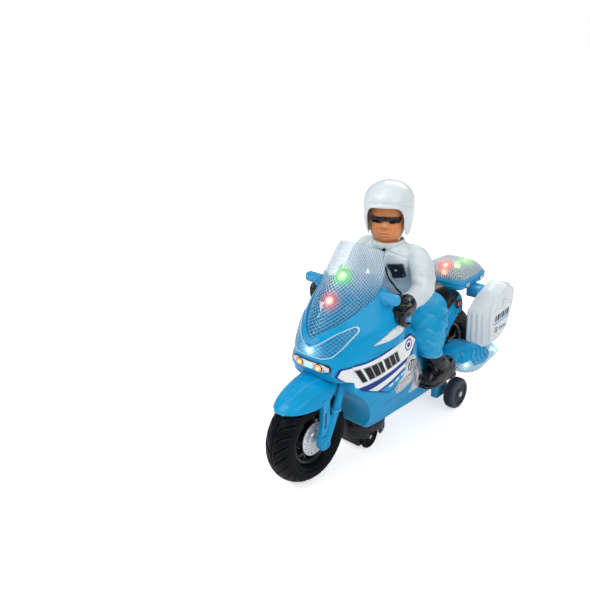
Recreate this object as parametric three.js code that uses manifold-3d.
// Battery toy: a patrol motorcycle with a seated rider.
// Millimetres. +Z is up, the front of the motorcycle faces -Y, its left side is +X, and it stands on z = 0.
// A swivelling drive unit under the belly and two small side wheels carry the toy.
import * as THREE from 'three';
import { mergeVertices } from 'three/addons/utils/BufferGeometryUtils.js';
import Module from 'manifold-3d';

const wasm = await Module();
wasm.setup();

// ---------------------------------------------------------------- driving dimensions

const GAP = 0.3; // air between mouldings that touch
const RUN = 0.08; // radial running clearance of a shaft
const WALL = 2; // moulded wall of the body, cowl and boxes

const WHEEL_R = 33; // front and rear road wheels
const TYRE_HALF = 11; // half the tyre's width
const RIM_R = 18.4; // outside of the rim, inside of the tyre
const RIM_HALF = 7;
const AXLE_R = 1.5;
const FRONT_AXLE = { y: -89.5, z: WHEEL_R + 0.4 };
const REAR_AXLE = { y: 84.5, z: WHEEL_R + 7 };
const WELL_CLEAR = 4; // air round a road wheel inside the body

const SIDE_X = 34.5; // half width across the fairing panels
const FRAME_X = 20; // half width of the frame under the seat
const BELLY_X = 25.5; // half width of the belly
const BELLY_Z = 27.5; // flat underside of the belly
const SHOULDER_Z = 93; // top edge of the fairing panels
const DECK_Z = 102; // flat top of the body under the tank

const COWL_X = 38; // half width of the cowl at its rear edge
const SCREEN_TOP_Z = 158;
const SCREEN_THICK = 1.6;

const CELL_R = 7.25; // AA cell
const CELL_LENGTH = 50.5;
const CELL_PITCH = 14.7;

const DRIVE = { y: -29.7, r: 18.5, neck: 15.6, flange: 17.2 }; // swivelling drive unit
const DRIVE_TOP_Z = 35;
const DRIVE_WHEEL_R = 9;
const DRIVE_WHEEL_X = [9.8, 13];
const DRIVE_AXLE_Y = DRIVE.y - 3.5;
const GEAR_MODULE = 0.6;
const AXLE_TEETH = 20;
const IDLER_TEETH = 20;
const PIN_R = 0.8; // idler pin and motor shaft
const MOTOR_R = 5;
const PINION_TEETH = 8;

const SIDE_WHEEL_R = 12.8;
const SIDE_WHEEL_X = [24.5, 33.5];
const SIDE_AXLE_Y = 59;

const BAR = { y: -30, z: 109.5, r: 2.6, half: 39.5 }; // handlebar
const BUTTON = { y: 71, z: 84.3, r: 2.3, travel: 1.5 };
const SWITCH = { x: 18.9, y: -18, travel: 3 };
const HEAD = { y: -1, z: 149.6, turn: 25 }; // neck pivot, and how far the head looks to the left

// ---------------------------------------------------------------- materials

const finish = (color, roughness, metalness = 0) => () =>
  new THREE.MeshStandardMaterial({ color, roughness, metalness });
const bluePlastic = finish(0x0d98dc, 0.3);
const whitePlastic = finish(0xe6eef1, 0.35);
const jacketPlastic = finish(0xdde7ea, 0.45);
const skinPlastic = finish(0xd9935a, 0.5);
const blackPlastic = finish(0x101317, 0.25);
const tyrePlastic = finish(0x22272c, 0.6);
const silverPlastic = finish(0xc4ccd0, 0.3, 0.7);
const clearPlastic = finish(0xcfe6f2, 0.1);
const redPlastic = finish(0xd8202c, 0.35);
const whiteGear = finish(0xe9e6dc, 0.4);
const steel = finish(0xb9bdc2, 0.3, 1);
const boardGreen = finish(0x1d6b3a, 0.6);
const cellWrap = finish(0x2b2f36, 0.4, 0.3);

// ---------------------------------------------------------------- solids from three.js geometry

function solid(geometry) {
  const flat = geometry.index ? geometry.toNonIndexed() : geometry.clone();
  for (const name of Object.keys(flat.attributes)) {
    if (name !== 'position') flat.deleteAttribute(name);
  }
  const merged = mergeVertices(flat, 1e-4);
  const corners = merged.index.array;
  const kept = [];
  for (let i = 0; i < corners.length; i += 3) {
    const [a, b, c] = [corners[i], corners[i + 1], corners[i + 2]];
    if (a !== b && b !== c && c !== a) kept.push(a, b, c);
  }
  return new wasm.Manifold(
    new wasm.Mesh({
      numProp: 3,
      vertProperties: new Float32Array(merged.attributes.position.array),
      triVerts: new Uint32Array(kept),
    }),
  );
}

function geometryOf(made) {
  const { vertProperties, triVerts } = made.getMesh();
  const geometry = new THREE.BufferGeometry();
  geometry.setAttribute('position', new THREE.BufferAttribute(vertProperties, 3));
  geometry.setIndex(new THREE.BufferAttribute(triVerts, 1));
  geometry.computeVertexNormals();
  return geometry;
}

const join = (...parts) => parts.reduce((a, b) => a.add(b));
const cut = (made, ...tools) => tools.reduce((a, b) => a.subtract(b), made);

// The largest body, without the loose chips that a cut can leave.
function largest(made) {
  const bodies = made.decompose();
  return bodies.reduce((a, b) => (a.volume() > b.volume() ? a : b));
}

function box([x0, x1], [y0, y1], [z0, z1]) {
  const geometry = new THREE.BoxGeometry(x1 - x0, y1 - y0, z1 - z0);
  geometry.translate((x0 + x1) / 2, (y0 + y1) / 2, (z0 + z1) / 2);
  return solid(geometry);
}

// Turns a geometry made along +Y so that it lies along the named axis.
function alongAxis(geometry, axis) {
  if (axis === 'x') geometry.rotateZ(-Math.PI / 2);
  if (axis === 'z') geometry.rotateX(Math.PI / 2);
  return geometry;
}

function rod(axis, r, from, to, [a, b], sides = 16) {
  const geometry = alongAxis(new THREE.CylinderGeometry(r, r, to - from, sides), axis);
  const mid = (from + to) / 2;
  if (axis === 'x') geometry.translate(mid, a, b);
  if (axis === 'y') geometry.translate(a, mid, b);
  if (axis === 'z') geometry.translate(a, b, mid);
  return solid(geometry);
}

// A turned solid: profile points are [radius, distance along the axis].
function turned(axis, profile, [x, y, z], sides = 24) {
  const points = profile.map(([r, h]) => new THREE.Vector2(r, h));
  const geometry = alongAxis(new THREE.LatheGeometry(points, sides), axis);
  geometry.translate(x, y, z);
  const made = solid(geometry);
  if (made.volume() > 0) return made;
  return solid(alongAxis(new THREE.LatheGeometry(points.reverse(), sides), axis).translate(x, y, z));
}

// A flat outline pushed along x (points are [y, z]), y ([x, z]) or z ([x, y]).
function plate(axis, outline, from, to) {
  const shape = new THREE.Shape(outline.map(([a, b]) => new THREE.Vector2(a, b)));
  const geometry = new THREE.ExtrudeGeometry(shape, { depth: to - from, bevelEnabled: false });
  const turn = new THREE.Matrix4();
  if (axis === 'x') turn.set(0, 0, 1, from, 1, 0, 0, 0, 0, 1, 0, 0, 0, 0, 0, 1);
  if (axis === 'y') turn.set(1, 0, 0, 0, 0, 0, -1, to, 0, 1, 0, 0, 0, 0, 0, 1);
  if (axis === 'z') turn.set(1, 0, 0, 0, 0, 1, 0, 0, 0, 0, 1, from, 0, 0, 0, 1);
  return solid(geometry.applyMatrix4(turn));
}

// A ring of points moved outwards in its own plane by g (inwards where g is negative).
function grownRing(ring, g) {
  const middle = ring.reduce((sum, p) => sum.add(p), new THREE.Vector3()).divideScalar(ring.length);
  const normal = new THREE.Vector3();
  ring.forEach((p, i) => {
    const q = ring[(i + 1) % ring.length];
    normal.add(p.clone().sub(middle).cross(q.clone().sub(middle)));
  });
  normal.normalize();
  return ring.map((p, i) => {
    const before = ring[(i + ring.length - 1) % ring.length];
    const after = ring[(i + 1) % ring.length];
    const a = p.clone().sub(before).cross(normal).normalize();
    const b = after.clone().sub(p).cross(normal).normalize();
    const out = a.add(b);
    const length = Math.max(out.length(), 1);
    return p.clone().addScaledVector(out, (2 * g) / (length * length));
  });
}

// A closed skin over a row of rings that have the same number of points.
function loft(rings, g = 0) {
  const centre = (ring) =>
    ring.reduce((sum, p) => sum.add(p), new THREE.Vector3()).divideScalar(ring.length);
  const last = rings.length - 1;
  const grown = rings.map((ring) => (g === 0 ? ring.map((p) => p.clone()) : grownRing(ring, g)));
  const startWay = centre(rings[0]).sub(centre(rings[1])).normalize();
  const endWay = centre(rings[last]).sub(centre(rings[last - 1])).normalize();
  grown[0].forEach((p) => p.addScaledVector(startWay, g));
  grown[last].forEach((p) => p.addScaledVector(endWay, g));
  const points = [];
  // Each side is split along its shorter diagonal, so that mirrored outlines give mirrored skins.
  const quad = (a, b, c, d) => {
    if (a.distanceTo(c) < b.distanceTo(d) + 1e-4) points.push(a, b, c, a, c, d);
    else points.push(a, b, d, b, c, d);
  };
  for (let i = 0; i < last; i++) {
    for (let j = 0; j < grown[i].length; j++) {
      const k = (j + 1) % grown[i].length;
      quad(grown[i][j], grown[i][k], grown[i + 1][k], grown[i + 1][j]);
    }
  }
  const cap = (ring, flip) => {
    const middle = centre(ring);
    ring.forEach((p, j) => {
      const q = ring[(j + 1) % ring.length];
      points.push(...(flip ? [middle, q, p] : [middle, p, q]));
    });
  };
  cap(grown[0], true);
  cap(grown[last], false);
  const build = (list) => solid(new THREE.BufferGeometry().setFromPoints(list));
  const made = build(points);
  if (made.volume() > 0) return made;
  const turnedOver = [];
  for (let i = 0; i < points.length; i += 3) turnedOver.push(points[i], points[i + 2], points[i + 1]);
  return build(turnedOver);
}

// Rings that are the same on both sides of the middle plane, from half outlines that start and end on it.
function sectionRing(half, place) {
  const other = half
    .slice(1, -1)
    .reverse()
    .map(([x, b]) => [-x, b]);
  return [...half, ...other].map(([x, b]) => place(x, b));
}
const acrossRing = (y, half) => sectionRing(half, (x, z) => new THREE.Vector3(x, y, z));
const levelRing = (z, half) => sectionRing(half, (x, y) => new THREE.Vector3(x, y, z));

// An oval at height z; power above 2 squares it off.
function ovalRing(z, [x, y], rx, ry, sides = 16, power = 2) {
  const ring = [];
  for (let i = 0; i < sides; i++) {
    const angle = (i / sides) * 2 * Math.PI;
    const c = Math.cos(angle);
    const s = Math.sin(angle);
    const px = x + rx * Math.sign(c) * Math.abs(c) ** (2 / power);
    const py = y + ry * Math.sign(s) * Math.abs(s) ** (2 / power);
    ring.push(new THREE.Vector3(px, py, z));
  }
  return ring;
}

// A limb: ovals square to a path of points; ra lies level and sideways, rb lies in the path's own plane.
function limb(stations, g = 0, sides = 14) {
  const rings = stations.map(({ at, ra, rb }, i) => {
    const before = stations[Math.max(i - 1, 0)].at;
    const after = stations[Math.min(i + 1, stations.length - 1)].at;
    const way = new THREE.Vector3(...after).sub(new THREE.Vector3(...before)).normalize();
    const across = new THREE.Vector3(1, 0, 0).addScaledVector(way, -way.x).normalize();
    const inPlane = way.clone().cross(across);
    const ring = [];
    for (let k = 0; k < sides; k++) {
      const angle = (k / sides) * 2 * Math.PI;
      ring.push(
        new THREE.Vector3(...at)
          .addScaledVector(across, ra * Math.cos(angle))
          .addScaledVector(inPlane, rb * Math.sin(angle)),
      );
    }
    return ring;
  });
  return loft(rings, g);
}

const mirrored = (made) => made.mirror([1, 0, 0]);
const BIG = 400;
const leftOf = (x) => box([x, BIG], [-BIG, BIG], [-BIG, BIG]);

// ---------------------------------------------------------------- the exported scene graph

const toy = new THREE.Group();

function place(name, made, material, parent = toy) {
  const mesh = new THREE.Mesh(geometryOf(made), material());
  mesh.name = name;
  parent.add(mesh);
  return mesh;
}

function placePair(name, made, material, parent = toy) {
  place(name + '_left', made, material, parent);
  place(name + '_right', mirrored(made), material, parent);
}

// ---------------------------------------------------------------- rider outlines

const riderHips = (g) =>
  loft(
    [
      ovalRing(109.2, [0, 20.8], 19.4, 21.4),
      ovalRing(102, [0, 23.2], 20.8, 23),
      ovalRing(94, [0, 23.4], 20, 22.6),
    ],
    g,
  );

const riderLeg = (g) =>
  loft(
    [
      ovalRing(108, [11, 20], 9, 16, 14),
      ovalRing(100, [18.5, 20.5], 13.5, 21, 14),
      ovalRing(92, [24, 15.5], 12.5, 20, 14),
      ovalRing(84, [27, 12.3], 11.7, 17.4, 14),
      ovalRing(77, [28, 12.8], 11, 15.6, 14),
      ovalRing(70, [28.3, 14.8], 9.8, 12, 14),
      ovalRing(63.5, [28.5, 17.5], 8.3, 8, 14),
    ],
    g,
  );

const riderTorso = (g) =>
  loft(
    [
      ovalRing(109.5, [0, 20.4], 20.2, 21.7),
      ovalRing(118, [0, 16.4], 21, 20.8),
      ovalRing(130, [0, 11], 23, 19.5),
      ovalRing(139, [0, 6.4], 23.6, 17),
      ovalRing(145, [0, 3], 18.5, 13),
      ovalRing(149.2, [0, 0.5], 10.5, 9.8),
    ],
    g,
  );

const riderArm = (g) =>
  limb(
    [
      { at: [19.4, 4.5, 145.4], ra: 5.6, rb: 4.6 },
      { at: [24.8, 4.2, 141], ra: 8.6, rb: 8.6 },
      { at: [28.8, 3.4, 132], ra: 8.8, rb: 10 },
      { at: [31, 1.6, 123.5], ra: 8, rb: 9.6 },
      { at: [31.3, -3.2, 118.2], ra: 7.4, rb: 8.2 },
      { at: [30.5, -10, 116], ra: 6.6, rb: 6.9 },
      { at: [30, -16.4, 115.4], ra: 6, rb: 6 },
    ],
    g,
  );

const riderGlove = (g) =>
  limb(
    [
      { at: [30, -16.9, 115.2], ra: 6.2, rb: 6.4 },
      { at: [31.5, -21, 114.6], ra: 7, rb: 8.4 },
      { at: [32.8, -27, 113.4], ra: 7, rb: 9.8 },
      { at: [33.4, -33, 113], ra: 6.6, rb: 9.4 },
      { at: [33.6, -37.6, 113.4], ra: 5, rb: 7 },
    ],
    g,
  );

const bootSection = (y, x, half, low, high) =>
  [
    [x - half, low + 1.2],
    [x - half + 1.2, low],
    [x + half - 1.2, low],
    [x + half, low + 1.2],
    [x + half, (low + high) / 2],
    [x + half * 0.6, high - 0.8],
    [x, high],
    [x - half * 0.6, high - 0.8],
    [x - half, (low + high) / 2],
  ].map(([px, pz]) => new THREE.Vector3(px, y, pz));

const riderBoot = (g) =>
  join(
    loft(
      [
        bootSection(5.4, 31, 4, 43.4, 48.5),
        bootSection(9, 31.3, 6.2, 41.4, 52),
        bootSection(16, 32, 6.9, 40.2, 55),
        bootSection(26, 33, 6.7, 40.6, 58),
        bootSection(35, 33.8, 6.4, 42, 57),
        bootSection(39, 34, 5, 43.6, 54),
      ],
      g,
    ),
    loft(
      [
        ovalRing(48, [33, 28], 6, 9, 14),
        ovalRing(56, [31.8, 23.5], 7.2, 9.6, 14),
        ovalRing(63.2, [28.8, 17.8], 8, 7.8, 14),
      ],
      g,
    ),
  );

// ---------------------------------------------------------------- body

// Half outlines of the body from its top middle round to its bottom middle, front to rear.
function bodySections() {
  const s = SIDE_X;
  const f = FRAME_X;
  const b = BELLY_X;
  const low = BELLY_Z;
  const brow = SHOULDER_Z;
  const row = (y, top, bottom, sides) => ({ y, half: [[0, top], ...sides, [0, bottom]] });
  return [
    row(
      -70.9,
      95,
      66,
      [[14, 95], [s - 10.5, brow - 5], [s - 7.2, 69.5], [s - 9, 66.8], [22, 66], [16, 66], [8, 66]],
    ),
    row(
      -61.5,
      100,
      52,
      [[17, 100], [s - 4.5, brow - 2], [s - 3.5, 67], [s - 5.5, 58.5], [b + 1, 53], [18, 52], [9, 52]],
    ),
    row(
      -49.5,
      DECK_Z,
      low + 0.6,
      [
        [19, DECK_Z], [s - 1.5, brow], [s - 1, 66], [s - 3.5, 57], [b, 35], [b - 4, low + 0.6],
        [10, low + 0.6],
      ],
    ),
    row(
      -35,
      DECK_Z,
      low,
      [[19, DECK_Z], [s - 0.3, brow], [s, 69], [s - 1, 57], [b + 0.5, 37], [b - 2.5, low], [10, low]],
    ),
    row(
      -18,
      DECK_Z,
      low,
      [[18, DECK_Z], [s - 1, brow], [s, 73], [s - 0.7, 60], [b + 0.5, 38], [b - 2, low], [10, low]],
    ),
    row(
      -8.5,
      DECK_Z - 2,
      low,
      [
        [17, DECK_Z - 2], [s - 2, brow - 4], [s - 1.5, 75], [s - 3, 58], [b + 1, 39], [b - 1.5, low],
        [10, low],
      ],
    ),
    row(
      1,
      95,
      low,
      [[16, 95], [s - 9.5, 82], [s - 7.5, 74], [s - 6.5, 57], [b + 1.5, 41], [b - 1, low], [10, low]],
    ),
    row(
      18,
      88,
      low,
      [[16, 88], [f + 1, 79], [f + 1.5, 66], [f + 4, 51], [b + 0.5, 42], [b - 0.5, low], [10, low]],
    ),
    row(
      36,
      82,
      low,
      [[16, 82], [f, 78], [f + 0.5, 64], [f + 2.5, 50], [b - 0.5, 42], [b - 1, low], [10, low]],
    ),
    row(
      50,
      83,
      low,
      [[15, 83], [f - 0.5, 80], [f + 0.3, 66], [f + 1, 52], [b - 2, 44], [b - 3, low], [10, low]],
    ),
    row(64, 87, 40, [[14, 87], [f - 1.2, 84], [f, 74], [f, 62], [f, 54], [f - 1, 40], [9, 40]]),
    row(
      79,
      91,
      56,
      [[13, 91], [f - 2.5, 89], [f - 1, 82], [f - 1, 72], [f - 2, 64], [f - 3, 56], [8, 56]],
    ),
  ];
}
const bodyOuter = (g) => loft(bodySections().map(({ y, half }) => acrossRing(y, half)), g);

const frontWell = (g) =>
  rod(
    'x', WHEEL_R + WELL_CLEAR + g, -(TYRE_HALF + 8 + g), TYRE_HALF + 8 + g,
    [FRONT_AXLE.y, FRONT_AXLE.z], 28,
  );
const rearArch = (g) =>
  rod('x', WHEEL_R + WELL_CLEAR + g, -60, 60, [REAR_AXLE.y, REAR_AXLE.z], 28);

// Plates under the rear of the belly that carry the side wheels' axle.
const AXLE_PLATE_X = [14.5, 19.5];
function axlePlates() {
  const outline = [
    [45, BELLY_Z + 3],
    [45, SIDE_WHEEL_R - 3],
    [48, SIDE_WHEEL_R - 4.5],
    [SIDE_AXLE_Y + 3, SIDE_WHEEL_R - 4.5],
    [SIDE_AXLE_Y + 5, SIDE_WHEEL_R],
    [SIDE_AXLE_Y + 3, SIDE_WHEEL_R + 5],
    [50, BELLY_Z + 3],
  ];
  const left = plate('x', outline, ...AXLE_PLATE_X);
  return join(left, mirrored(left));
}

const DOOR = { half: 22, y: [-9, 44], z: [BELLY_Z - 0.5, BELLY_Z + 1.4] };
const FLOOR_Z = BELLY_Z + WALL;
const SCREW_POSTS = [[-58, 88], [-14, 92], [30, 74]];

function bodyShells() {
  const cavity = cut(bodyOuter(-WALL), frontWell(WALL), rearArch(WALL));
  const doorHole = box(
    [-DOOR.half - GAP, DOOR.half + GAP],
    [DOOR.y[0] - GAP, DOOR.y[1] + GAP],
    [0, FLOOR_Z + 1],
  );
  const neckHole = join(
    rod('z', DRIVE.neck + GAP, 0, FLOOR_Z + 1, [0, DRIVE.y], 32),
    rod('z', DRIVE.flange + GAP, FLOOR_Z, DRIVE_TOP_Z + GAP, [0, DRIVE.y], 32),
  );
  const slotY = [SWITCH.y - 2 - GAP, SWITCH.y + 2 + SWITCH.travel + GAP];
  const switchSlot = box([SWITCH.x - 1.6 - GAP, SWITCH.x + 1.6 + GAP], slotY, [0, FLOOR_Z + 1]);
  const buttonHole = join(
    rod('x', BUTTON.r + 0.2, 10, 30, [BUTTON.y, BUTTON.z]),
    rod('x', BUTTON.r + 1.4, 8, FRAME_X - 3.8, [BUTTON.y, BUTTON.z]),
  );
  const whole = cut(
    join(cut(bodyOuter(0), frontWell(0), rearArch(0), cavity), axlePlates()),
    doorHole,
    neckHole,
    forkOuter(GAP),
    fenderOuter(GAP),
    trimOuter(GAP),
    rod('x', AXLE_R + RUN, -60, 60, [SIDE_AXLE_Y, SIDE_WHEEL_R]),
  );
  const posts = SCREW_POSTS.map((at) => rod('x', 3, -SIDE_X, SIDE_X, at, 16).intersect(bodyOuter(-1)));
  const half = largest(join(whole, ...posts).intersect(leftOf(GAP / 2)));
  place('body_left', cut(half, switchSlot, buttonHole), bluePlastic);
  place('body_right', mirrored(half), bluePlastic);
}

// Silver engine and vent panels let into the fairing sides.
const TRIM_OUTLINE = [
  [-35, 56.5], [-31.5, 61], [-25, 64.5], [-25, 73], [-21, 77.5], [-13, 76], [-5, 69], [5, 62], [11, 53],
  [4, 39.5], [-8, 40], [-4, 48], [-11, 55], [-28, 49.5],
];
function trimOuter(g) {
  const outline = TRIM_OUTLINE.map(([y, z]) => new THREE.Vector3(y, z, 0));
  const grown = grownRing(outline, g).map((p) => [p.x, p.y]);
  const skin = cut(bodyOuter(0.9 + g), bodyOuter(-1 - g));
  const left = skin.intersect(plate('x', grown, 18, 60));
  return g === 0 ? left : join(left, mirrored(left));
}

// ---------------------------------------------------------------- cowl, windscreen and lamps

// Half outlines of the cowl seen from above, from its nose back along its side, low to high.
function cowlLevels() {
  const c = COWL_X;
  const row = (z, back, side) => ({ z, half: [...side, [0, back]] });
  return [
    row(
      75,
      -71.2,
      [[0, -81], [9, -81], [16, -80], [20, -77.5], [23, -74.5], [26, -71.2], [26, -71.2 + 0.01]],
    ),
    row(
      80,
      -71.2,
      [[0, -83.5], [9, -83.3], [16, -82.3], [21, -79.6], [24, -75.5], [27.2, -71.3], [27.2, -71.2]],
    ),
    row(
      88,
      -70,
      [[0, -85], [9, -84.5], [16, -82], [21, -77.6], [24.5, -73], [27.5, -70.2], [27.6, -70]],
    ),
    row(95, -33, [[0, -85.6], [9, -84.2], [17, -79], [24, -70], [31, -58], [c - 1.5, -44], [c, -33]]),
    row(
      104,
      -33,
      [[0, -83.3], [9, -81], [17, -74.8], [25, -64.5], [32, -52.5], [c - 0.5, -42], [c + 0.5, -33]],
    ),
    row(
      112,
      -34.5,
      [[0, -78], [9, -75.6], [17, -69.4], [24, -59.8], [30, -50.5], [c - 3, -42.5], [c - 2, -34.5]],
    ),
    row(
      120,
      -36,
      [
        [0, -72.3], [8.5, -69.8], [15.5, -64], [21.5, -55.6], [26.5, -48], [c - 7.5, -42],
        [c - 6.5, -36],
      ],
    ),
    row(
      127,
      -38,
      [[0, -67.2], [8, -65], [14, -60], [19, -53], [23, -47], [c - 11, -42.5], [c - 10, -38]],
    ),
    row(
      132,
      -39.5,
      [[0, -63.6], [7, -61.5], [12.5, -57], [17, -51], [21, -46.5], [c - 13.5, -43.5], [c - 12, -39.5]],
    ),
  ];
}
const cowlOuter = (g) => loft(cowlLevels().map(({ z, half }) => levelRing(z, half)), g);

// The windscreen is a sheet between a middle line and an edge line, both running up from its point.
const SCREEN_ROWS = [
  { middle: [-84.3, 102.5], edge: [2, -83.2, 102.8] },
  { middle: [-79, 110], edge: [13, -70.5, 110.5] },
  { middle: [-72.6, 119.4], edge: [19.5, -56.5, 118.6] },
  { middle: [-65, 130.5], edge: [23.3, -42.5, 127.5] },
  { middle: [-57, 141], edge: [22.8, -37, 137] },
  { middle: [-49.3, 150.3], edge: [21.2, -33, 145] },
  { middle: [-42, SCREEN_TOP_Z], edge: [19.5, -29.5, SCREEN_TOP_Z - 6.5] },
];
function screenSheet(out, into, g) {
  const across = 8;
  const rings = SCREEN_ROWS.map(({ middle, edge }) => {
    const front = [];
    for (let i = -across; i <= across; i += 2) {
      const u = i / across;
      const y = middle[0] + (edge[1] - middle[0]) * u * u;
      const z = middle[1] + (edge[2] - middle[1]) * u * u;
      front.push(new THREE.Vector3(edge[0] * u, y, z));
    }
    const normal = (p) => new THREE.Vector3(p.x * 0.035, -0.8, 0.6).normalize();
    const outer = front.map((p) => p.clone().addScaledVector(normal(p), out));
    const inner = front.map((p) => p.clone().addScaledVector(normal(p), -into)).reverse();
    return [...outer, ...inner];
  });
  return loft(rings, g);
}

// A piece let into the cowl's skin: an outline seen from the front ([x, z]) or the side ([y, z]).
function cowlInlay(axis, outline, [from, to], proud, deep, g) {
  const grown = grownRing(outline.map(([a, b]) => new THREE.Vector3(a, b, 0)), g).map((p) => [p.x, p.y]);
  return cut(cowlOuter(proud + g), cowlOuter(-deep - g)).intersect(plate(axis, grown, from, to));
}
const lensHalf = [
  [0, 91.5], [10, 91.5], [16, 93], [20, 99], [24, 108], [22, 111], [15, 107], [8, 101], [0, 97],
];
const lensOutline = [...lensHalf, ...lensHalf.slice(1, -1).reverse().map(([x, z]) => [-x, z])];
const headLens = (g) => largest(cowlInlay('y', lensOutline, [-95, -58], 0.5, 1.2, g));

const barHalf = [[0, 81.3], [13, 81.3], [16.3, 83], [16.3, 86.4], [13, 88], [0, 88]];
const barOutline = [...barHalf, ...barHalf.slice(1, -1).reverse().map(([x, z]) => [-x, z])];
const lampBar = (g) => largest(cowlInlay('y', barOutline, [-95, -75], 0.5, 1.2, g));

const trimSide = [
  [-56, 97.6], [-44, 98.4], [-37, 101.4], [-34.6, 105], [-37, 107], [-43, 105], [-50, 101],
];
const cowlTrim = (g) => cowlInlay('x', trimSide, [15, 60], 0.5, 0.9, g);

function cowlAndLamps() {
  const inner = cowlOuter(-WALL);
  const hollow = join(inner, inner.translate([0, 6, 0]), inner.translate([0, 12, 0]));
  const thick = SCREEN_THICK / 2;
  const window = join(screenSheet(9, 9, GAP), screenSheet(thick, thick, GAP));
  const trims = join(cowlTrim(GAP), mirrored(cowlTrim(GAP)));
  const mirrorArm = (g) => box([24 - g, 39.5 + g], [-45 - g, -40 + g], [122.5 - g, 129.5 + g]);
  const mirrors = join(mirrorArm(0), mirrored(mirrorArm(0)));
  const shell = cut(join(cut(cowlOuter(0), hollow), cut(mirrors, inner)), bodyOuter(GAP), window);
  const cowl = cut(shell, headLens(GAP), lampBar(GAP), trims, fenderOuter(GAP), forkOuter(GAP));
  place('nose_cowl', largest(cowl), bluePlastic);
  place('windscreen', cut(screenSheet(thick, thick, 0), headLens(GAP)), clearPlastic);
  place('headlamp_lens', headLens(0), clearPlastic);
  place('lamp_bar', lampBar(0), silverPlastic);
  placePair('cowl_trim', largest(cowlTrim(0)), silverPlastic);
  const board = box([-5, 5], [-46, -44.4], [DECK_Z + 0.4, 139.5]);
  const lamp = (z, from) => rod('y', 2.3, from, -45, [0, z], 12);
  place('front_lamp_board', join(board, lamp(122.7, -65.5), lamp(136.5, -51)), boardGreen);
}

// ---------------------------------------------------------------- front end

const forkTube = (g) =>
  limb(
    [
      { at: [TYRE_HALF + 4, -87.4, FRONT_AXLE.z - 3.4], ra: 2.6, rb: 3.4 },
      { at: [TYRE_HALF + 4, -80, 45], ra: 2.6, rb: 3.2 },
      { at: [TYRE_HALF + 3.6, -68, 69], ra: 2.6, rb: 3.2 },
    ],
    g,
    12,
  );
function forkOuter(g) {
  const foot = box(
    [TYRE_HALF + 1.2 - g, TYRE_HALF + 6.9 + g],
    [FRONT_AXLE.y - 3 - g, FRONT_AXLE.y + 4.5 + g],
    [FRONT_AXLE.z - 4.4 - g, FRONT_AXLE.z + 4.1 + g],
  );
  const left = join(forkTube(g), foot);
  const crown = box([-TYRE_HALF - 6 - g, TYRE_HALF + 6 + g], [-72 - g, -64.5 + g], [70 - g, 75.5 + g]);
  return join(left, mirrored(left), crown);
}

const FENDER_ROWS = [
  { y: -114.2, half: [[0, 63.6], [2.8, 63.2], [4.4, 62.2], [4.8, 61.2], [0, 61.2]] },
  { y: -110, half: [[0, 66.8], [5, 66.3], [8.6, 63.8], [9.8, 60.9], [0, 60.9]] },
  { y: -102, half: [[0, 71], [6.5, 70.4], [11.4, 66.6], [13.2, 60.5], [0, 60.5]] },
  { y: -93, half: [[0, 73.6], [7.5, 73], [12.8, 69], [15, 60.2], [0, 60.2]] },
  { y: -84, half: [[0, 74.6], [8, 74.2], [13.6, 70.8], [15.8, 61.5], [0, 61.5]] },
  { y: -73.5, half: [[0, 74.8], [8, 74.4], [13, 72.4], [14.4, 69], [0, 69]] },
];
function fenderOuter(g) {
  const cover = loft(FENDER_ROWS.map(({ y, half }) => acrossRing(y, half)), g);
  const stay = plate(
    'x',
    grownRing(
      [[-92.5, 64], [-84, 64], [-84.6, 40], [-86, 37], [-90.5, 37]].map(
        ([y, z]) => new THREE.Vector3(y, z, 0),
      ),
      g,
    ).map((p) => [p.x, p.y]),
    TYRE_HALF + 1.6 - g,
    TYRE_HALF + 4.6 + g,
  );
  return join(cover, stay, mirrored(stay));
}

function tyre(centre) {
  const w = TYRE_HALF;
  const r = WHEEL_R;
  const half = [
    [RIM_R + 0.1, w - 4.5], [RIM_R + 1.6, w - 1.5], [r - 9, w], [r - 4.5, w - 0.8], [r - 1.5, w - 3.8],
    [r, w - 8],
  ];
  const other = [...half].reverse().map(([radius, h]) => [radius, -h]);
  return turned('x', [...half, ...other, half[0]], centre, 32);
}

function rim(centre, hubBore) {
  const [, y, z] = centre;
  const thin = RIM_R - 3;
  const edge = RIM_HALF - 1;
  const profile = [[thin, edge], [RIM_R, RIM_HALF], [RIM_R, -RIM_HALF], [thin, -edge], [thin, edge]];
  const ring = turned('x', profile, centre, 28);
  const hub = rod('x', 6.5, -RIM_HALF + 0.6, RIM_HALF - 0.6, [y, z], 20);
  const spokes = [];
  for (let i = 0; i < 5; i++) {
    const angle = (i / 5) * 2 * Math.PI;
    const at = (radius, side) => [
      y + radius * Math.cos(angle) - side * Math.sin(angle),
      z + radius * Math.sin(angle) + side * Math.cos(angle),
    ];
    const outline = [
      at(5, -2), at(11, -1.4), at(16.4, -5), at(17.4, -2.6), at(13.4, 0), at(17.4, 2.6), at(16.4, 5),
      at(11, 1.4), at(5, 2),
    ];
    spokes.push(plate('x', outline, -RIM_HALF + 2, RIM_HALF - 2));
  }
  return cut(join(ring, hub, ...spokes), rod('x', hubBore, -30, 30, [y, z], 20));
}

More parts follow.
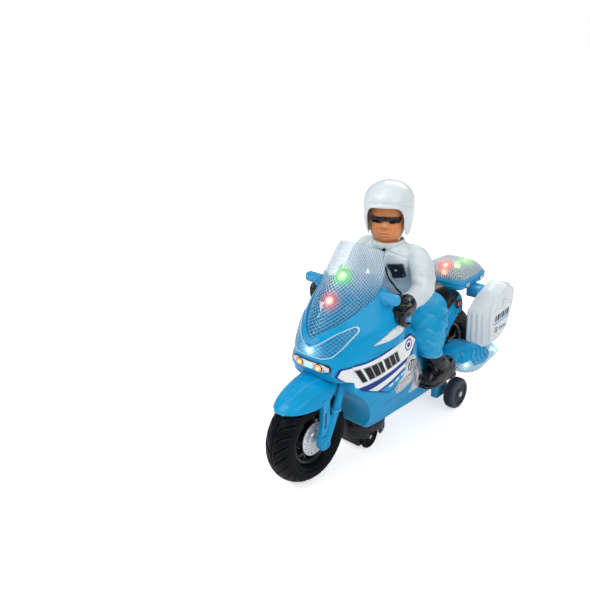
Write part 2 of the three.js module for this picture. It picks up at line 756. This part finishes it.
function frontEnd() {
  const { y, z } = FRONT_AXLE;
  const axleHole = rod('x', AXLE_R + RUN, -60, 60, [y, z]);
  const tyreRoom = rod('x', WHEEL_R + 3, -TYRE_HALF - 1, TYRE_HALF + 1, [y, z], 28);
  place('front_fork', cut(forkOuter(0), axleHole), bluePlastic);
  place('front_fender', largest(cut(fenderOuter(0), tyreRoom, forkOuter(GAP))), bluePlastic);
  place('front_axle', rod('x', AXLE_R, -TYRE_HALF - 7.2, TYRE_HALF + 7.2, [y, z]), steel);
  const hub = rod('x', 4.4, -RIM_HALF - 1.8, RIM_HALF + 1.8, [y, z], 20);
  const disc = rod('x', 12, RIM_HALF + 0.3, RIM_HALF + 1.5, [y, z], 24);
  place('front_tyre', tyre([0, y, z]), tyrePlastic);
  place('front_rim', rim([0, y, z], 4.6), blackPlastic);
  place('front_hub', cut(join(hub, disc, mirrored(disc)), axleHole), silverPlastic);
}

// ---------------------------------------------------------------- tank, handlebar, seat and tail

const tankOuter = (g) =>
  loft(
    [
      acrossRing(-26.4, [[0, 109.6], [8, 108.8], [13, 106], [14, DECK_Z + GAP], [0, DECK_Z + GAP]]),
      acrossRing(-18, [[0, 113.2], [8, 112.4], [14.5, 108.6], [17, DECK_Z + GAP], [0, DECK_Z + GAP]]),
      acrossRing(-8, [[0, 113.2], [8, 112.4], [15, 108], [18, 100], [0, 100]]),
      acrossRing(4, [[0, 104.4], [8, 103.6], [15, 99], [18, 88], [0, 88]]),
      acrossRing(13, [[0, 95], [8, 94.4], [14, 91], [17, 84], [0, 84]]),
    ],
    g,
  );

const seatOuter = (g) =>
  loft(
    [
      acrossRing(13.6, [[0, 94], [9, 93.6], [15, 91], [19, 84], [19, 79], [0, 79]]),
      acrossRing(26, [[0, 95], [9, 94.6], [15.5, 91.5], [19.6, 84], [19.6, 77], [0, 77]]),
      acrossRing(38, [[0, 99], [9, 98.6], [15, 95], [19.2, 86], [19.6, 77.4], [0, 77.4]]),
      acrossRing(46, [[0, 103.2], [9, 102.6], [14.5, 99], [18.6, 88], [19.4, 79.4], [0, 79.4]]),
      acrossRing(60, [[0, 102.6], [9, 102], [14.5, 99], [18.2, 92], [19, 84.6], [0, 84.6]]),
      acrossRing(68, [[0, 98.4], [9, 97.8], [14.5, 95.4], [17.8, 91.4], [18.6, 87.4], [0, 87.4]]),
      acrossRing(76, [[0, 93.6], [9, 93.4], [14, 92.6], [16.6, 91.8], [17.4, 91], [0, 91]]),
    ],
    g,
  );

const CARRIER_HALF = [
  [0, 70.5], [14, 71], [20.5, 73.5], [21, 82], [20.6, 100], [19.4, 113], [14, 116], [0, 117],
];
function carrierOuter(g) {
  const level = (z, inset) => levelRing(
    z,
    CARRIER_HALF.map(([x, y]) => [Math.max(x - inset, 0), y + inset * 0.4]),
  );
  const deck = loft([level(94.2, 1.6), level(96, 0.2), level(101, 0)], g);
  const arm = box([17 - g, 28.6 + g], [86 - g, 98 + g], [86 - g, 95 + g]);
  const keel = box([-12 - g, 12 + g], [77 - g, 100 + g], [91.6 - g, 95 + g]);
  return join(deck, arm, mirrored(arm), keel);
}

function domeOuter(g) {
  const plan = [
    [0, 71.6], [13, 72.2], [19.6, 75], [20, 84], [19.6, 100], [18, 112], [13, 114.6], [0, 115.4],
  ];
  const level = (z, k, lean) => levelRing(z, plan.map(([x, y]) => [x * k, 92 + (y - 92) * k - lean]));
  return loft(
    [
      level(101.3, 1, 0), level(105, 0.95, 0.6), level(109.6, 0.8, 1.6), level(113, 0.52, 2.6),
      level(114.4, 0.2, 3),
    ],
    g,
  );
}

function seatAndTail() {
  const rearRoom = rod(
    'x', WHEEL_R + 2, -TYRE_HALF - 1.5, TYRE_HALF + 1.5, [REAR_AXLE.y, REAR_AXLE.z], 28,
  );
  place('handlebar', rod('x', BAR.r, -BAR.half, BAR.half, [BAR.y, BAR.z], 20), bluePlastic);
  place(
    'tank_cover',
    largest(cut(tankOuter(0), bodyOuter(GAP), rod('x', BAR.r + GAP, -50, 50, [BAR.y, BAR.z]))),
    bluePlastic,
  );
  place('seat', largest(cut(seatOuter(0), bodyOuter(GAP), tankOuter(GAP))), blackPlastic);
  const carrier = largest(cut(carrierOuter(0), bodyOuter(GAP), seatOuter(GAP), rearRoom));
  place('tail_carrier', carrier, bluePlastic);
  place(
    'dome_lens',
    largest(cut(domeOuter(0), domeOuter(-1.6), domeOuter(-1.6).translate([0, 0, -3]), seatOuter(GAP))),
    clearPlastic,
  );
  const board = box([-12, 12], [76, 106], [102, 103.2]);
  const lamps = [79.5, 100].map((y) => rod('z', 2.3, 103, 107.5, [0, y], 12));
  place('rear_lamp_board', join(board, ...lamps), boardGreen);
}

// ---------------------------------------------------------------- panniers and exhausts

function pannierOuter(g) {
  const face = (x, points) => points.map(([y, z]) => new THREE.Vector3(x, y, z));
  return loft(
    [
      face(
        29,
        [
          [70.5, 81], [88, 92.5], [104, 97.5], [118, 92], [118, 82], [110, 55], [100, 50.5],
          [82, 50.5], [71.5, 53],
        ],
      ),
      face(
        36,
        [
          [74, 80.6], [87, 94], [104.5, 98.6], [122.5, 92], [122.3, 82], [109.5, 52], [98, 47],
          [84, 46.4], [77, 48.5],
        ],
      ),
      face(
        43,
        [
          [79.5, 80], [88, 92], [104, 97], [118.4, 90.6], [118, 81], [109, 58], [98, 52], [86, 51],
          [81.5, 54],
        ],
      ),
    ],
    g,
  );
}

// The exhaust sections go front to rear; each is [inner x, outer x, low z, high z].
const EXHAUST_ROWS = [
  { y: 43, span: [21.5, 33, 40.5, 52] },
  { y: 52, span: [18, 38.5, 36, 56] },
  { y: 62, span: [17, 41, 31.5, 56] },
  { y: 74, span: [17, 42, 28.5, 53] },
  { y: 87, span: [19, 42.5, 30.5, 47.5] },
  { y: 96, span: [27, 42.5, 31.5, 45] },
  { y: 103, span: [30, 42, 32, 44] },
];
function exhaustOuter(g) {
  const rings = EXHAUST_ROWS.map(({ y, span: [x0, x1, z0, z1] }) => {
    const mid = (z0 + z1) / 2;
    const points = [
      [x0, mid], [x0 + 1, z0 + 3], [x0 + 4, z0], [x1 - 5, z0], [x1 - 1.5, z0 + 3],
      [x1, mid], [x1 - 2.5, z1 - 3.5], [x1 - 7, z1], [x0 + 3, z1], [x0 + 1, z1 - 3],
    ];
    return points.map(([x, z]) => new THREE.Vector3(x, y, z));
  });
  return loft(rings, g);
}
// The clear lens takes the lower front and the rear end of each exhaust.
function lensSide(g) {
  const outline = [
    [30, 10], [130, 10], [130, 70], [90, 70], [88, 42],
    [80, 36.5], [66, 38], [58, 46], [52, 44.5], [30, 52],
  ].map(([y, z]) => new THREE.Vector3(y, z, 0));
  return plate('x', grownRing(outline, g).map((p) => [p.x, p.y]), 10, 60);
}

function sidePieces() {
  const axleHole = rod('x', AXLE_R + RUN, -60, 60, [REAR_AXLE.y, REAR_AXLE.z]);
  const hollow = join(pannierOuter(-WALL), pannierOuter(-WALL).translate([-3, 0, 0]));
  const pannier = cut(pannierOuter(0), hollow, exhaustOuter(GAP), carrierOuter(GAP));
  placePair('pannier', largest(pannier), whitePlastic);
  const boss = rod('x', 5, TYRE_HALF + 1, 24, [REAR_AXLE.y, REAR_AXLE.z], 20);
  const sideRoom = rod(
    'x', SIDE_WHEEL_R + 1.5, SIDE_WHEEL_X[0] - 1, SIDE_WHEEL_X[1] + 1, [SIDE_AXLE_Y, SIDE_WHEEL_R], 32,
  );
  const whole = cut(exhaustOuter(0), bodyOuter(GAP), sideRoom, riderBoot(GAP));
  const cover = cut(join(cut(whole, lensSide(GAP)), boss), axleHole);
  placePair('exhaust', largest(cover), bluePlastic);
  placePair(
    'exhaust_lens',
    largest(cut(
      whole.intersect(lensSide(0)),
      rod('x', 5 + GAP, 0, 24 + GAP, [REAR_AXLE.y, REAR_AXLE.z], 20),
    )),
    clearPlastic,
  );
}

// ---------------------------------------------------------------- wheels and drive unit

function rearAndSideWheels() {
  const { y, z } = REAR_AXLE;
  place('rear_axle', rod('x', AXLE_R, -TYRE_HALF - 6, TYRE_HALF + 6, [y, z]), steel);
  place('rear_tyre', tyre([0, y, z]), tyrePlastic);
  place('rear_rim', rim([0, y, z], AXLE_R + RUN), blackPlastic);
  const [x0, x1] = SIDE_WHEEL_X;
  const r = SIDE_WHEEL_R;
  const half = (x1 - x0) / 2;
  const profile = [
    [AXLE_R + RUN, -half], [r - 3.4, -half], [r - 1, -half + 0.8],
    [r, -half + 2.6], [r, half - 3], [r - 1.2, half - 0.8],
    [r - 3.4, half], [r - 4.2, half - 0.8], [r - 4.8, half - 0.2],
    [AXLE_R + RUN, half - 0.2], [AXLE_R + RUN, -half],
  ];
  placePair('side_wheel', turned('x', profile, [(x0 + x1) / 2, SIDE_AXLE_Y, r], 24), tyrePlastic);
  place('outrigger_axle', rod('x', AXLE_R, -x1 + 0.6, x1 - 0.6, [SIDE_AXLE_Y, r]), steel);
}

// Straight-sided teeth with backlash; a tooth lies at the phase angle.
function gear(teeth, [x0, x1], [y, z], phase) {
  const pitch = (GEAR_MODULE * teeth) / 2;
  const tip = pitch + GEAR_MODULE * 0.8;
  const root = pitch - GEAR_MODULE * 1.15;
  const step = (2 * Math.PI) / teeth;
  const outline = [];
  for (let i = 0; i < teeth; i++) {
    const mid = phase + i * step;
    const corner = (radius, turn) => [
      y + radius * Math.cos(mid + turn * step),
      z + radius * Math.sin(mid + turn * step),
    ];
    outline.push(corner(root, -0.3), corner(tip, -0.11), corner(tip, 0.11), corner(root, 0.3));
  }
  return plate('x', outline, x0, x1);
}

function driveUnit() {
  const y = DRIVE.y;
  const capTop = BELLY_Z - 0.4;
  const skirtLow = 11.5;
  const flangeLow = FLOOR_Z + 0.8;
  const top = DRIVE_TOP_Z;
  const axleY = DRIVE_AXLE_Y;
  const axleZ = DRIVE_WHEEL_R;
  const reach = (a, b) => (GEAR_MODULE * (a + b)) / 2;
  const idlerWay = Math.PI / 3;
  const idlerGap = reach(AXLE_TEETH, PINION_TEETH);
  const idler = [axleY + idlerGap * Math.cos(idlerWay), axleZ + idlerGap * Math.sin(idlerWay)];
  const pinionWay = (75 * Math.PI) / 180;
  const pinionGap = reach(IDLER_TEETH, PINION_TEETH);
  const motor = [
    idler[0] + pinionGap * Math.cos(pinionWay),
    idler[1] + pinionGap * Math.sin(pinionWay),
  ];

  const wheelTop = 2 * DRIVE_WHEEL_R + 1.2;

  const outer = join(
    rod('z', DRIVE.r, skirtLow, capTop, [0, y], 32),
    rod('z', DRIVE.neck, capTop - 1, top, [0, y], 32),
    rod('z', DRIVE.flange, flangeLow, flangeLow + 1.5, [0, y], 32),
    box([-9.2, 9.2], [axleY - 9.5, y + 12], [3, skirtLow + 1]),
  );
  const room = join(
    box([9.5, 14], [axleY - 10, axleY + 10], [0, wheelTop]),
    box([-14, -9.5], [axleY - 10, axleY + 10], [0, wheelTop]),
    box([-8.6, 8.6], [axleY - 8.6, y + 10.8], [0, 24]),
    rod('z', DRIVE.neck - 1.4, motor[1] - MOTOR_R - 0.2, top - 1.4, [0, y], 32),
  );
  const axleHole = rod('x', AXLE_R + RUN, -60, 60, [axleY, axleZ]);
  const strap = cut(
    box([-9.2, 9.2], [axleY - 3.5, axleY + 3.5], [axleZ - 3.5, skirtLow + 2]),
    box([-8.6, 8.6], [-60, 0], [0, 40]),
  );
  const pin = rod('x', PIN_R, -9, 9, idler, 12);
  place('drive_case', largest(cut(join(cut(outer, room), strap, pin), axleHole)), blackPlastic);
  place(
    'drive_motor',
    join(rod('x', MOTOR_R, -11, 4.6, motor, 24), rod('x', PIN_R, 4.5, 8, motor, 12)),
    steel,
  );
  const mesh = (from, to) => Math.atan2(to[1] - from[1], to[0] - from[0]);
  const axleAt = [axleY, axleZ];
  const gearOnAxle = gear(AXLE_TEETH, [2.2, 4.8], axleAt, mesh(axleAt, idler));
  const half = (teeth) => Math.PI / teeth;
  place(
    'drive_axle',
    join(rod('x', AXLE_R, -DRIVE_WHEEL_X[1], DRIVE_WHEEL_X[1], axleAt), gearOnAxle),
    steel,
  );
  const small = gear(PINION_TEETH, [1.8, 5.6], idler, mesh(idler, axleAt) + half(PINION_TEETH));
  const large = gear(IDLER_TEETH, [5.4, 8], idler, mesh(idler, motor));
  place('idler_gear', cut(join(small, large), rod('x', PIN_R + RUN, 0, 10, idler, 12)), whiteGear);
  const pinion = gear(PINION_TEETH, [5.2, 8.2], motor, mesh(motor, idler) + half(PINION_TEETH));
  place('motor_pinion', cut(pinion, rod('x', PIN_R + RUN, 0, 10, motor, 12)), whiteGear);
  const r = DRIVE_WHEEL_R;
  const [x0, x1] = DRIVE_WHEEL_X;
  const bore = AXLE_R + RUN;
  const profile = [
    [bore, x0], [r - 0.8, x0], [r, x0 + 0.8], [r, x1 - 0.8], [r - 0.8, x1], [bore, x1], [bore, x0],
  ];
  placePair('drive_wheel', turned('x', profile, [0, axleY, axleZ], 20), tyrePlastic);
}

// ---------------------------------------------------------------- inside the body

function insides() {
  const cellZ = BELLY_Z + 1.4 + GAP + CELL_R + 0.4;
  const cellY = [DOOR.y[0] + 1.2, DOOR.y[0] + 1.2 + CELL_LENGTH];
  for (let i = 0; i < 3; i++) {
    const x = (i - 1) * CELL_PITCH;
    const can = rod('y', CELL_R, cellY[0], cellY[1] - 1.2, [x, cellZ], 20);
    place(
      'battery_' + (i + 1),
      join(can, rod('y', 2.7, cellY[1] - 1.5, cellY[1], [x, cellZ], 12)),
      cellWrap,
    );
  }
  place('battery_door', box([-DOOR.half, DOOR.half], DOOR.y, DOOR.z), bluePlastic);
  place(
    'speaker',
    join(rod('x', 7.6, 13.4, 16.6, [46, 70], 24), rod('x', 5, 9.5, 13.6, [46, 70], 20)),
    blackPlastic,
  );
  place('circuit_board', box([-0.8, 0.8], [-8, 24], [54, 80]), boardGreen);
  const knob = box(
    [SWITCH.x - 1.6, SWITCH.x + 1.6],
    [SWITCH.y - 2, SWITCH.y + 2],
    [BELLY_Z - 1.4, FLOOR_Z + 0.5],
  );
  const foot = box(
    [SWITCH.x - 2.2, SWITCH.x + 2.2],
    [SWITCH.y - 3, SWITCH.y + 3],
    [FLOOR_Z + GAP, FLOOR_Z + 1.6],
  );
  place('power_switch', join(knob, foot), blackPlastic);
  const cap = rod('x', BUTTON.r, FRAME_X - 5, FRAME_X + 0.6, [BUTTON.y, BUTTON.z], 20);
  const collar = rod('x', BUTTON.r + 0.8, FRAME_X - 5.6, FRAME_X - 4.1, [BUTTON.y, BUTTON.z], 20);
  place('call_button', join(cap, collar), redPlastic);
}

// ---------------------------------------------------------------- rider

function rider() {
  const saddle = [bodyOuter(GAP), tankOuter(GAP), seatOuter(GAP)];
  const legs = join(riderHips(0), riderLeg(0), mirrored(riderLeg(0)));
  place('rider_trousers', largest(cut(legs, ...saddle)), bluePlastic);
  place('rider_jacket', riderTorso(0), jacketPlastic);
  placePair(
    'rider_arm',
    largest(cut(riderArm(0), riderTorso(GAP), riderLeg(GAP), riderGlove(GAP))),
    jacketPlastic,
  );
  const grip = rod('x', BAR.r + GAP, -50, 50, [BAR.y, BAR.z], 20);
  placePair('rider_glove', largest(cut(riderGlove(0), grip, cowlOuter(GAP))), blackPlastic);
  placePair('rider_boot', largest(cut(riderBoot(0), bodyOuter(GAP), trimOuter(GAP))), blackPlastic);
}

// The head is modelled looking straight ahead, then its group is turned about the neck.
function head() {
  const group = new THREE.Group();
  group.position.set(0, HEAD.y, 0);
  group.rotation.z = (HEAD.turn * Math.PI) / 180;
  toy.add(group);
  const z = HEAD.z;
  const face = (g) =>
    loft(
      [
        ovalRing(z, [0, 0.5], 8.6, 8.6),
        ovalRing(z + 3.4, [0, -1.2], 9.4, 9.6, 16, 2.3),
        ovalRing(z + 9, [0, -0.6], 11.2, 11, 16, 2.4),
        ovalRing(z + 16, [0, 0], 12.2, 11.8, 16, 2.4),
        ovalRing(z + 25, [0, 0.4], 12.4, 12.2, 16, 2.2),
        ovalRing(z + 33, [0, 1], 11.6, 11.8),
        ovalRing(z + 38, [0, 1], 7, 7.5),
      ],
      g,
    );
  const shell = loft([
    ovalRing(z + 5.6, [0, 3], 14.8, 13.2),
    ovalRing(z + 9, [0, 2.4], 15.8, 15.4),
    ovalRing(z + 17, [0, 1.4], 17.2, 17.6),
    ovalRing(z + 26, [0, 1], 17.6, 19.2),
    ovalRing(z + 33, [0, 1.2], 16.4, 18.2),
    ovalRing(z + 38.2, [0, 1.6], 12.6, 14.2),
    ovalRing(z + 41.4, [0, 1.8], 7.4, 8.4),
    ovalRing(z + 42.4, [0, 1.8], 2.2, 2.6),
  ]);
  const facePort = box([-11.4, 11.4], [-40, -2], [z - 10, z + 28.4]);
  const neckRoom = rod('z', 11.5, z - 10, z + 10, [0, 0], 20);
  place('rider_head', face(0), skinPlastic, group);
  place('rider_helmet', largest(cut(shell, face(GAP), facePort, neckRoom)), whitePlastic, group);
}

bodyShells();
placePair('engine_trim', largest(trimOuter(0)), silverPlastic);
cowlAndLamps();
frontEnd();
seatAndTail();
sidePieces();
rearAndSideWheels();
driveUnit();
insides();
rider();
head();

export default toy;
